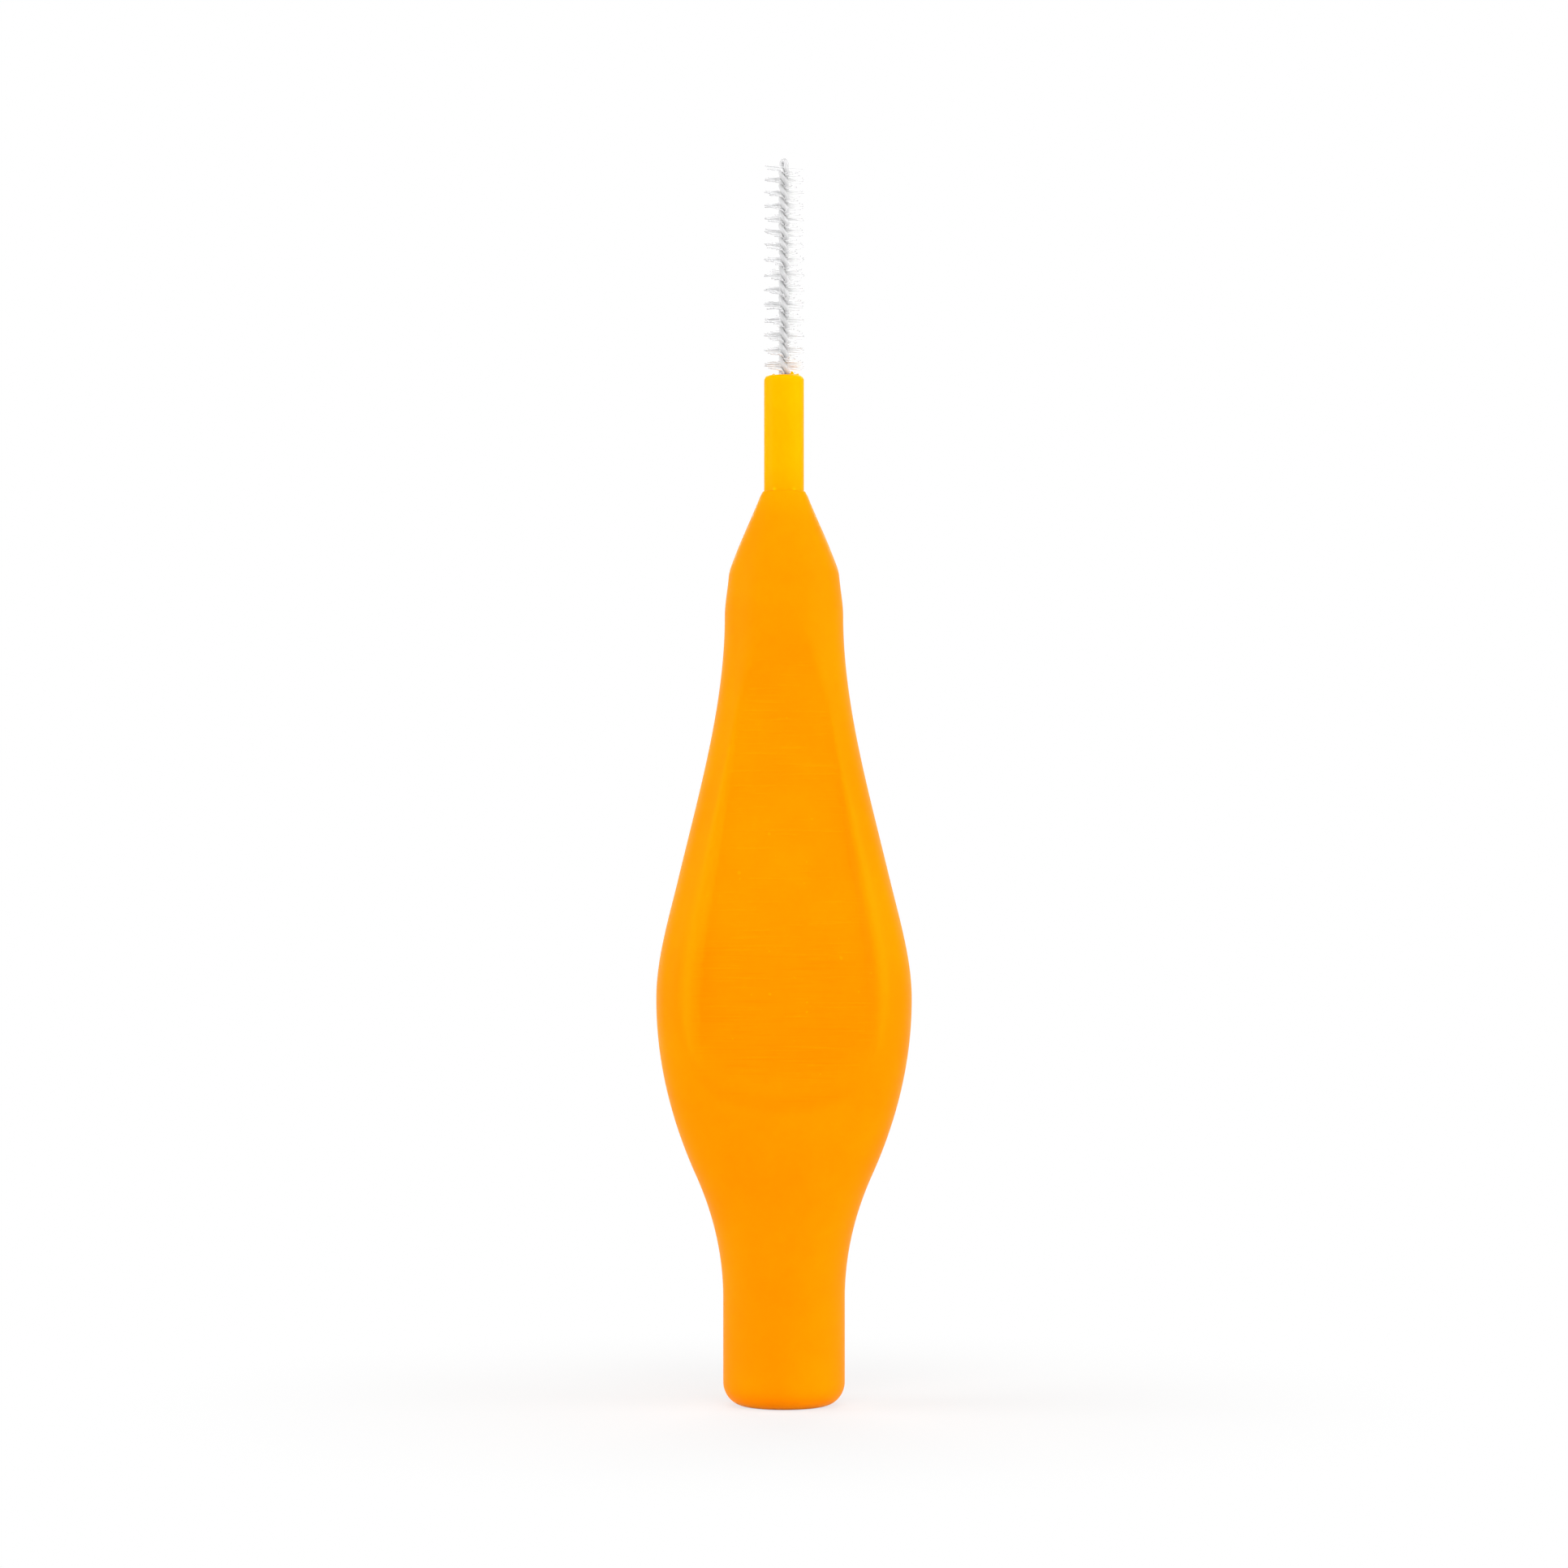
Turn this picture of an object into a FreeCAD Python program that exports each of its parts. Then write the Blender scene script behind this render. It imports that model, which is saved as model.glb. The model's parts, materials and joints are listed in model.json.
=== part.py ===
"""Interdental brush: a flat pear-shaped grip, a neck sleeve, a twisted core wire and its bristle tufts.

Sizes are in millimetres. +Z runs from the butt of the grip to the tip of the wire. The grip's broad
faces look along -Y (front) and +Y (back), and the origin is the centre of the butt's end face.
"""

import FreeCAD, Part
import math
import os

Vector = FreeCAD.Vector

# Grip, butt end: a flat end face and a rounded edge below the cap seat
butt_radius = 3.39
butt_edge_radius = 1.25
cap_seat_top = 6.0

# Grip, outline from the front: the length of each span upwards from the cap seat, the half-width at
# its upper end and the slope of the flank there (half-width gained per millimetre of height)
flare_length = 6.9
flare_half_width = 4.92
flare_slope = 0.45
hip_length = 9.9
belly_half_width = 7.15
flank_length = 6.8
flank_half_width = 5.9
flank_slope = -0.24
waist_length = 14.7
shoulder_radius = 3.3
brow_length = 2.2
brow_radius = 3.08
brow_slope = -0.08
crown_length = 1.2
crown_radius = 2.71
cone_slope = -0.38
cone_length = 3.6
nose_lip = 0.08

# Grip, outline from the side, and how full its oval sections are: the weight of the conic in each quarter
belly_half_thickness = 4.1
belly_fullness = 1.6
round_fullness = math.sqrt(0.5)

# Thumb scoop in each broad face: a flat floor a step below its rim, and an arc up to the face at each end
scoop_rim_share = 0.70
scoop_step = 0.18
scoop_floor_below_belly = 2.4
scoop_floor_above_belly = 13.0
scoop_low_radius = 10.0
scoop_high_radius = 36.0

# Neck sleeve: the part that shows, and the root in the grip's nose
neck_radius = 1.12
neck_length = 6.5
neck_edge_radius = 0.27
neck_root_length = 6.0

# Core wire: one wire folded at the tip, with its two strands twisted to the left
strand_diameter = 0.26
head_length = 12.2
loop_leg_length = 0.14
loop_half_turns = 0.15
tip_half_turn = 0.742
tip_half_turns = 6.5
root_half_turn = 0.85
wire_bore_clearance = 0.02
wire_tail_wall = 1.0

# Bristles: straight filaments clamped between the strands
bristle_reach = 1.14
filament_diameter = 0.075
filament_clearance = 0.005
filament_spacing = 0.017
mouth_clearance = 0.05

# Sections of the grip's loft in each span of the outline, and steps of the twist in each half turn
sections_per_span = 5
steps_per_half_turn = 2

# Heights and radii that follow from the sizes above
flare_top = cap_seat_top + flare_length
belly_height = flare_top + hip_length
flank_top = belly_height + flank_length
shoulder_height = flank_top + waist_length
brow_top = shoulder_height + brow_length
crown_top = brow_top + crown_length
nose_height = crown_top + cone_length
nose_radius = neck_radius + nose_lip
mouth_height = nose_height + neck_length
root_height = nose_height - neck_root_length
tip_height = mouth_height + head_length

strand_radius = strand_diameter / 2
filament_radius = filament_diameter / 2
strand_offset = strand_radius + filament_radius + filament_clearance
wire_reach = strand_offset + strand_radius
wire_bore_radius = wire_reach + wire_bore_clearance
wire_bore_bottom = root_height + wire_tail_wall
wire_tail_height = wire_bore_bottom + wire_bore_clearance + strand_radius
loop_height = tip_height - wire_reach
twist_top = loop_height - loop_leg_length
pitch_change = twist_top - tip_half_turns * tip_half_turn

# Stations of an outline: height, half-size and slope, with a cubic curve from each to the next
FLAT_OUTLINE = [
    (cap_seat_top, butt_radius, 0.0),
    (flare_top, flare_half_width, flare_slope),
    (belly_height, belly_half_width, 0.0),
    (flank_top, flank_half_width, flank_slope),
    (shoulder_height, shoulder_radius, 0.0),
]
NOSE_OUTLINE = [
    (shoulder_height, shoulder_radius, 0.0),
    (brow_top, brow_radius, brow_slope),
    (crown_top, crown_radius, cone_slope),
    (nose_height, nose_radius, cone_slope),
]
SIDE_OUTLINE = [
    (cap_seat_top, butt_radius, 0.0),
    (belly_height, belly_half_thickness, 0.0),
    (shoulder_height, shoulder_radius, 0.0),
]
FULLNESS = [
    (cap_seat_top, round_fullness, 0.0),
    (belly_height, belly_fullness, 0.0),
    (shoulder_height, round_fullness, 0.0),
]


def outline_size(stations, height):
    """Half-size of an outline at a height, on the cubic between the two stations around it."""
    for low, high in zip(stations, stations[1:]):
        if height <= high[0]:
            break
    span = high[0] - low[0]
    t = (height - low[0]) / span
    rise = t * t * (3 - 2 * t)
    lean_out = t * (1 - t) ** 2 * span * low[2]
    lean_in = t * t * (1 - t) * span * high[2]
    return low[1] + (high[1] - low[1]) * rise + lean_out - lean_in


def outline_edges(stations, share=1.0):
    """The outline's cubics as edges in the XZ plane, on the +X side, scaled in X by a share."""
    edges = []
    for low, high in zip(stations, stations[1:]):
        third = (high[0] - low[0]) / 3
        curve = Part.BezierCurve()
        curve.setPoles([
            Vector(share * low[1], 0, low[0]),
            Vector(share * (low[1] + third * low[2]), 0, low[0] + third),
            Vector(share * (high[1] - third * high[2]), 0, high[0] - third),
            Vector(share * high[1], 0, high[0]),
        ])
        edges.append(curve.toShape())
    return edges


def line(start, end):
    """Straight edge."""
    return Part.LineSegment(start, end).toShape()


def arc_from_corner(start, corner, end):
    """Arc from start to end that is tangent there to the lines to the corner, which is as far from both."""
    middle = (start + end) * 0.5
    half_chord = (end - start).Length / 2
    towards = corner - middle
    sagitta = half_chord * math.tan(math.atan2(towards.Length, half_chord) / 2)
    return Part.Arc(start, middle + towards.normalize() * sagitta, end).toShape()


def revolved(edges):
    """Solid of revolution about Z of a closed profile in the XZ plane."""
    face = Part.Face(Part.Wire(edges))
    return face.revolve(Vector(0, 0, 0), Vector(0, 0, 1), 360)


def oval_section(height):
    """Outline of the grip at a height: a conic quarter between each two of the ends of its half-axes."""
    half_width = outline_size(FLAT_OUTLINE, height)
    half_thickness = outline_size(SIDE_OUTLINE, height)
    centre = Vector(0, 0, height)
    right = Vector(half_width, 0, 0)
    back = Vector(0, half_thickness, 0)
    axes = [right, back, -right, -back]
    quarters = []
    for start, end in zip(axes, axes[1:] + axes[:1]):
        quarter = Part.BezierCurve()
        quarter.setPoles([centre + start, centre + start + end, centre + end])
        quarter.setWeight(2, outline_size(FULLNESS, height))
        quarters.append(quarter.toShape())
    return Part.Wire(quarters)


def butt_end():
    """Round butt with its cap seat, from the end face up to the flare."""
    centre = Vector(0, 0, 0)
    corner = Vector(butt_radius, 0, 0)
    on_face = corner - Vector(butt_edge_radius, 0, 0)
    on_side = corner + Vector(0, 0, butt_edge_radius)
    top_edge = Vector(butt_radius, 0, cap_seat_top)
    top_centre = Vector(0, 0, cap_seat_top)
    return revolved([
        line(centre, on_face),
        arc_from_corner(on_face, corner, on_side),
        line(on_side, top_edge),
        line(top_edge, top_centre),
        line(top_centre, centre),
    ])


def pear_body():
    """Loft of oval sections from the cap seat to the shoulder."""
    heights = [FLAT_OUTLINE[0][0]]
    for low, high in zip(FLAT_OUTLINE, FLAT_OUTLINE[1:]):
        step = (high[0] - low[0]) / sections_per_span
        heights += [low[0] + step * number for number in range(1, sections_per_span + 1)]
    return Part.makeLoft([oval_section(height) for height in heights], True, False)


def nose():
    """Round shoulder, brow and cone up to the mouth of the grip."""
    low_centre = Vector(0, 0, shoulder_height)
    low_edge = Vector(shoulder_radius, 0, shoulder_height)
    high_edge = Vector(nose_radius, 0, nose_height)
    high_centre = Vector(0, 0, nose_height)
    return revolved([
        line(low_centre, low_edge),
        *outline_edges(NOSE_OUTLINE),
        line(high_edge, high_centre),
        line(high_centre, low_centre),
    ])


def rim_prism(front):
    """Everything in front of the axis and inside the rim, whose outline is the grip's drawn narrower."""
    stations = FLAT_OUTLINE + NOSE_OUTLINE[1:]
    right = outline_edges(stations, scoop_rim_share)
    left = [edge.mirror(Vector(0, 0, 0), Vector(1, 0, 0)) for edge in right]
    low = scoop_rim_share * stations[0][1]
    high = scoop_rim_share * stations[-1][1]
    bottom = line(Vector(-low, 0, stations[0][0]), Vector(low, 0, stations[0][0]))
    top = line(Vector(-high, 0, stations[-1][0]), Vector(high, 0, stations[-1][0]))
    outline = Part.Wire(Part.__sortEdges__([bottom, top, *right, *left]))
    return Part.Face(outline).extrude(Vector(0, -front, 0))


def scoop_floor(height):
    """Point of the scoop's floor at a height: a step below the rim, which lies on the oval section.

    On a conic quarter with weight w, the point at a share s of the half-width has the ratio u of its two
    Bezier parameters with u * u + 2 * w * u = s / (1 - s), and 1 - (1 - s) * u * u of the half-thickness.
    """
    weight = outline_size(FULLNESS, height)
    ratio = math.sqrt(weight**2 + scoop_rim_share / (1 - scoop_rim_share)) - weight
    rim = outline_size(SIDE_OUTLINE, height) * (1 - (1 - scoop_rim_share) * ratio**2)
    return Vector(0, scoop_step - rim, height)


def scoop_cutter(front):
    """Bar across the grip whose inner face is the scoop's floor and the arcs at its two ends."""
    low = scoop_floor(belly_height - scoop_floor_below_belly)
    high = scoop_floor(belly_height + scoop_floor_above_belly)
    along = (high - low).normalize()
    out = Vector(0, -along.z, along.y)
    low_end = low + (out - along) * scoop_low_radius
    high_end = high + (out + along) * scoop_high_radius
    low_front = low_end + out * front
    profile = Part.Wire([
        line(low, high),
        arc_from_corner(high, high + along * scoop_high_radius, high_end),
        line(high_end, low_front),
        line(low_front, low_end),
        arc_from_corner(low_end, low - along * scoop_low_radius, low),
    ])
    half_length = 2 * belly_half_width
    bar = Part.Face(profile).extrude(Vector(2 * half_length, 0, 0))
    bar.translate(Vector(-half_length, 0, 0))
    return bar


def thumb_scoop():
    """Volume that the front scoop takes out of the grip."""
    front = 2 * belly_half_thickness
    return scoop_cutter(front).common(rim_prism(front))


def grip():
    """The whole grip: butt, pear body and nose in one, less the two scoops and the neck's socket."""
    body = butt_end().fuse([pear_body(), nose()])
    front_scoop = thumb_scoop()
    back_scoop = front_scoop.mirror(Vector(0, 0, 0), Vector(0, 1, 0))
    socket = Part.makeCylinder(neck_radius, neck_root_length, Vector(0, 0, root_height))
    return body.cut([front_scoop, back_scoop, socket])


def neck_sleeve():
    """Neck with a rounded mouth, the bore that holds the wire and the root in the grip's nose."""
    corner = Vector(neck_radius, 0, mouth_height)
    on_side = corner - Vector(0, 0, neck_edge_radius)
    on_top = corner - Vector(neck_edge_radius, 0, 0)
    root_centre = Vector(0, 0, root_height)
    root_edge = Vector(neck_radius, 0, root_height)
    bore_mouth = Vector(wire_bore_radius, 0, mouth_height)
    bore_edge = Vector(wire_bore_radius, 0, wire_bore_bottom)
    bore_centre = Vector(0, 0, wire_bore_bottom)
    return revolved([
        line(root_centre, root_edge),
        line(root_edge, on_side),
        arc_from_corner(on_side, corner, on_top),
        line(on_top, bore_mouth),
        line(bore_mouth, bore_edge),
        line(bore_edge, bore_centre),
        line(bore_centre, root_centre),
    ])


def twist_height(turn):
    """Height where the twist, counted downwards in half turns from its top, has come to a turn."""
    if turn <= tip_half_turns:
        return twist_top - turn * tip_half_turn
    return pitch_change - (turn - tip_half_turns) * root_half_turn


def across(turn):
    """Unit vector from the axis to the first strand; it lies along Y at the top of the twist."""
    angle = math.pi * turn
    return Vector(-math.sin(angle), math.cos(angle), 0)


def strand_point(turn):
    """Point on the first strand's centre line."""
    return across(turn) * strand_offset + Vector(0, 0, twist_height(turn))


def strand_direction(turn):
    """Direction of the first strand, going down; at the change of pitch it is between the two."""
    drop = tip_half_turn if turn < tip_half_turns else root_half_turn
    if math.isclose(turn, tip_half_turns):
        drop = (tip_half_turn + root_half_turn) / 2
    sideways = across(turn + 0.5) * (math.pi * strand_offset)
    return (sideways - Vector(0, 0, drop)).normalize()


def biarc(start, leaving, end, arriving):
    """Two arcs in a row from start to end, tangent to each other and to both directions."""
    chord = end - start
    bend = 2 * (1 - leaving.dot(arriving))
    along = chord.dot(leaving + arriving)
    reach = (math.sqrt(along**2 + bend * chord.dot(chord)) - along) / bend
    first_corner = start + leaving * reach
    second_corner = end - arriving * reach
    join = (first_corner + second_corner) * 0.5
    return [arc_from_corner(start, first_corner, join), arc_from_corner(join, second_corner, end)]


def twist_turns():
    """Turns at which the strand's path is fixed, evenly spaced in the tip's run and in the root's."""
    last = tip_half_turns + (pitch_change - wire_tail_height) / root_half_turn
    turns = [0.0]
    for low, high in ((0.0, tip_half_turns), (tip_half_turns, last)):
        steps = max(1, round((high - low) * steps_per_half_turn))
        turns += [low + (high - low) * number / steps for number in range(1, steps + 1)]
    return turns


def strand_edges():
    """The first strand: half of the loop down from its crest, the loop's leg and the twist to the tail."""
    loop_side = across(-loop_half_turns) * strand_offset
    crest = Vector(0, 0, loop_height + strand_offset)
    foot = loop_side + Vector(0, 0, loop_height)
    edges = [arc_from_corner(crest, crest + loop_side, foot)]
    edges += biarc(foot, Vector(0, 0, -1), strand_point(0), strand_direction(0))
    turns = twist_turns()
    for low, high in zip(turns, turns[1:]):
        edges += biarc(strand_point(low), strand_direction(low), strand_point(high), strand_direction(high))
    return edges


def core_wire():
    """One wire: a strand up from its tail, over the hairpin loop at the tip and down the other strand."""
    first = strand_edges()
    second = [edge.rotated(Vector(0, 0, 0), Vector(0, 0, 1), 180) for edge in first]
    path = Part.Wire(Part.__sortEdges__([*first, *second]))
    start_edge = path.OrderedEdges[0]
    start_point = path.OrderedVertexes[0].Point
    start_direction = start_edge.tangentAt(start_edge.getParameterByLength(0))
    circle = Part.Wire([Part.Circle(start_point, start_direction, strand_radius).toShape()])
    return path.makePipeShell([circle], True, False)


def filament(turn):
    """One straight filament through the axis at a turn, square to the line between the strands."""
    direction = across(turn + 0.5)
    start = Vector(0, 0, twist_height(turn)) - direction * bristle_reach
    return Part.makeCylinder(filament_radius, 2 * bristle_reach, start, direction)


def tuft(centre):
    """Filaments of the half turn round a narrow point of the twist, as many as fit without touching."""
    drop = twist_height(centre - 0.5) - twist_height(centre + 0.5)
    count = int(drop / (filament_diameter + filament_spacing))
    turns = [centre + (number + 0.5) / count - 0.5 for number in range(count)]
    return Part.makeCompound([filament(turn) for turn in turns if turn > 0])


def tufts():
    """One tuft for each half turn of the twist, from the tip down to the neck's mouth."""
    lowest = mouth_height + mouth_clearance
    groups = [tuft(0)]
    while twist_height(len(groups) + 0.5) >= lowest:
        groups.append(tuft(len(groups)))
    return groups


os.makedirs("parts", exist_ok=True)
grip().exportStep("parts/grip.step")
neck_sleeve().exportStep("parts/neck_sleeve.step")
core_wire().exportStep("parts/core_wire.step")
for number, bristles in enumerate(tufts(), start=1):
    bristles.exportStep(f"parts/tuft_{number:02d}.step")
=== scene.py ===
"""Looks of an interdental brush: moulded grip, neck sleeve, twisted core wire and nylon bristles.

Sizes in this script are in millimetres, with +Z along the tool from the butt to the wire's tip and the
front of the grip towards -Y. They become metres when a mesh is made.
"""

import json
import logging
import math
from dataclasses import dataclass
from enum import Enum
from typing import Any

import bpy
import numpy as np
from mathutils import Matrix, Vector


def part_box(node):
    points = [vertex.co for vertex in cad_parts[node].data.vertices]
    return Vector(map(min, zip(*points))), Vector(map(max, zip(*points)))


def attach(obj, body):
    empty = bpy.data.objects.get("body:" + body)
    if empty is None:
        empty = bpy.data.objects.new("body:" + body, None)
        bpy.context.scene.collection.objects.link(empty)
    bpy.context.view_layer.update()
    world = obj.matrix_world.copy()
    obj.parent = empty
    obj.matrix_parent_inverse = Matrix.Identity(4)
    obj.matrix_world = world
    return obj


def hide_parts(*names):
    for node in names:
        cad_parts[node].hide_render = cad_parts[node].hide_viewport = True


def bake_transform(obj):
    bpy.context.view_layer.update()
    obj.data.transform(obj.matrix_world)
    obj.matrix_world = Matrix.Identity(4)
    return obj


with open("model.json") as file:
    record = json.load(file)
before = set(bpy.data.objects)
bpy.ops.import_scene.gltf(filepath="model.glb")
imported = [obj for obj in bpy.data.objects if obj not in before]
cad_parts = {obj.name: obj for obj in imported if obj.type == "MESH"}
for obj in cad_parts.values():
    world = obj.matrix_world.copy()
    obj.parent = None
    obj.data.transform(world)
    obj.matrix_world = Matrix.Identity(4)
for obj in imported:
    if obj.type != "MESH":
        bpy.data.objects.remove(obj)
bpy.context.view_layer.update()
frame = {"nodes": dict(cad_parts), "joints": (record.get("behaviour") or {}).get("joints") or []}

log = logging.getLogger("interdental_brush")

MM = 0.001
ROUND_FULLNESS = math.sqrt(0.5)
UPRIGHT = np.array([0.0, 0.0, 1.0])
FINE_STEPS = 4000
SAME_LEVEL = 1e-6

Pair = tuple[float, float]
Triple = tuple[float, float, float]
Colour = tuple[float, float, float]
Focus = tuple[float, float, float]
Station = tuple[float, float, float]
Crumb = tuple[float, float, float, float]


class Body(Enum):
    """Bodies of the tool that pieces ride on."""

    HANDLE = "handle"
    HEAD = "brush_head"


class Slot(Enum):
    """Finishes of the record that pieces are repainted by."""

    GRIP = "grip_plastic"
    NECK = "neck_plastic"
    WIRE = "wire_steel"
    BRISTLE = "bristle_nylon"


class Reference(Enum):
    """Nodes of the frame whose places set the sizes here; the tufts' names begin alike."""

    GRIP = "grip"
    NECK = "neck_sleeve"
    WIRE = "core_wire"
    TUFT = "tuft_"


def box_mm(node: str) -> tuple[np.ndarray, np.ndarray]:
    """Gives the box of a frame node.

    Args:
        node: Name of the node.

    Returns:
        Its lowest and its highest corner, in millimetres.
    """
    low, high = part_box(node)
    return np.array(low) / MM, np.array(high) / MM


def spread(low: float, high: float, count: int, focuses: tuple[Focus, ...] = ()) -> np.ndarray:
    """Places positions from low to high, closer together around each focus.

    The density is 1 plus a bell curve for each focus, and the positions are even steps of its integral.

    Args:
        low: First position.
        high: Last position.
        count: How many positions.
        focuses: Centre, width and gain of each bell.

    Returns:
        The positions, rising.
    """
    fine = np.linspace(low, high, FINE_STEPS)
    density = np.ones_like(fine)
    for centre, width, gain in focuses:
        density += gain * np.exp(-(((fine - centre) / width) ** 2))
    total = np.concatenate([[0.0], np.cumsum((density[1:] + density[:-1]) / 2)])
    return np.interp(np.linspace(0.0, total[-1], count), total, fine)


def rounded(start: np.ndarray, corner: np.ndarray, end: np.ndarray, steps: int) -> np.ndarray:
    """Rounds a profile's corner by a circular arc: a rational quadratic curve with the corner as its pole.

    Args:
        start: Point where the arc begins, as far from the corner as the end is.
        corner: Corner that is rounded.
        end: Point where the arc stops.
        steps: Points on the arc, both ends included.

    Returns:
        The arc's points, shaped (steps, 2).
    """
    t = np.linspace(0.0, 1.0, steps)[:, None]
    weight = np.linalg.norm(end - start) / 2 / np.linalg.norm(corner - start)
    pull = 2 * weight * t * (1 - t)
    stay = (1 - t) ** 2
    return (stay * start + pull * corner + t**2 * end) / (stay + pull + t**2)


def smooth(t: np.ndarray) -> np.ndarray:
    """Gives the smooth step 3t^2 - 2t^3 of t, held at 0 and 1 outside that range."""
    t = np.clip(t, 0.0, 1.0)
    return t * t * (3 - 2 * t)


def between(ends: Pair, t: np.ndarray) -> np.ndarray:
    """Gives the value that lies a share t of the way from the first end to the second."""
    return ends[0] + (ends[1] - ends[0]) * t


@dataclass
class Tubes:
    """Closed tubes, each skinned over rings of points with a point at either end.

    Attributes:
        rings: Ring points in millimetres, shaped (tubes, rows, columns, 3).
        poles: First and last point of each tube, shaped (tubes, 2, 3).
        values: Numbers that go with the ring points, by name, shaped (tubes, rows, columns).
    """

    rings: np.ndarray
    poles: np.ndarray
    values: dict[str, np.ndarray]

    def faces(self) -> list[list[int]]:
        """Lists the faces: a quad for each step of a row and a column, and a fan of triangles at each pole.

        Returns:
            Corner numbers of every face, turned so that faces look outwards.
        """
        tubes, rows, columns, _ = self.rings.shape
        ring = np.arange(columns)
        after = np.roll(ring, -1)
        rise = np.arange(rows - 1)[:, None] * columns
        quads = np.stack([rise + ring, rise + after, rise + columns + after, rise + columns + ring], axis=-1)
        first, last, top = rows * columns, rows * columns + 1, (rows - 1) * columns
        low_fan = np.stack([np.full(columns, first), after, ring], axis=-1)
        high_fan = np.stack([np.full(columns, last), top + ring, top + after], axis=-1)
        offset = (np.arange(tubes) * (rows * columns + 2))[:, None, None]
        quads = (quads.reshape(1, -1, 4) + offset).reshape(-1, 4)
        fans = (np.concatenate([low_fan, high_fan])[None] + offset).reshape(-1, 3)
        return quads.tolist() + fans.tolist()

    def points(self) -> np.ndarray:
        """Gives all points in the order that the faces number them, shaped (points, 3)."""
        tubes = len(self.rings)
        return np.concatenate([self.rings.reshape(tubes, -1, 3), self.poles], axis=1).reshape(-1, 3)

    def value(self, name: str) -> np.ndarray:
        """Gives one of the values for all points; a pole takes the mean of the ring beside it."""
        tubes = len(self.rings)
        value = self.values[name]
        ends = value[:, [0, -1]].mean(axis=2)
        return np.concatenate([value.reshape(tubes, -1), ends], axis=1).ravel()

    def piece(self, name: str) -> bpy.types.Object:
        """Makes a smooth-shaded mesh object.

        Args:
            name: Name of the piece.

        Returns:
            The object, at the origin, with the values as point attributes.
        """
        mesh = bpy.data.meshes.new(name)
        mesh.from_pydata((self.points() * MM).tolist(), [], self.faces())
        mesh.polygons.foreach_set("use_smooth", np.ones(len(mesh.polygons), dtype=bool))
        for key in self.values:
            attribute = mesh.attributes.new(key, "FLOAT", "POINT")
            attribute.data.foreach_set("value", self.value(key).astype(np.float32))
        mesh.update()
        piece = bpy.data.objects.new(name, mesh)
        bpy.context.scene.collection.objects.link(piece)
        log.info("%s: %d points, %d faces", name, len(mesh.vertices), len(mesh.polygons))
        return piece


def turned(profile: np.ndarray, angle: np.ndarray) -> np.ndarray:
    """Turns a profile about the Z axis.

    Args:
        profile: Radius and height of each row, shaped (rows, 2).
        angle: Angle of each column.

    Returns:
        Ring points, shaped (rows, columns, 3).
    """
    spokes = np.stack([np.cos(angle), np.sin(angle), 0 * angle], axis=-1)
    return profile[:, :1, None] * spokes + profile[:, 1:, None] * UPRIGHT


def even_angles(count: int) -> np.ndarray:
    """Gives evenly spaced angles once round a circle."""
    return np.linspace(0.0, 2 * np.pi, count, endpoint=False)


class Shade:
    """An output socket of a shader node that takes part in Python expressions; operators add Math nodes."""

    def __init__(self, bench: "Bench", node: bpy.types.Node, output: Any) -> None:
        """Wraps the output of a node on the bench, by its name or number."""
        self.bench = bench
        self.node = node
        self.output = output

    @property
    def socket(self) -> bpy.types.NodeSocket:
        """Gives the socket itself."""
        return self.node.outputs[self.output]

    def _math(self, operation: str, first: Any, second: Any) -> "Shade":
        """Adds a Math node for an operation on two sockets or numbers."""
        return self.bench.add("ShaderNodeMath", {"operation": operation}, {0: first, 1: second})

    def __add__(self, other: Any) -> "Shade":
        """Adds a socket or a number."""
        return self._math("ADD", self, other)

    __radd__ = __add__

    def __sub__(self, other: Any) -> "Shade":
        """Takes a socket or a number away."""
        return self._math("SUBTRACT", self, other)

    def __rsub__(self, other: Any) -> "Shade":
        """Takes this socket away from a number."""
        return self._math("SUBTRACT", other, self)

    def __mul__(self, other: Any) -> "Shade":
        """Multiplies by a socket or a number."""
        return self._math("MULTIPLY", self, other)

    __rmul__ = __mul__

    def over(self, floor: Any) -> "Shade":
        """Gives the larger of this socket and another socket or number."""
        return self._math("MAXIMUM", self, floor)

    def band(self, ends: Pair) -> "Shade":
        """Maps the first end to 0 and the second to 1 by a smooth step."""
        settings = {"interpolation_type": "SMOOTHSTEP", "clamp": True}
        inputs = {"Value": self, "From Min": ends[0], "From Max": ends[1]}
        return self.bench.add("ShaderNodeMapRange", settings, inputs)


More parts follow.
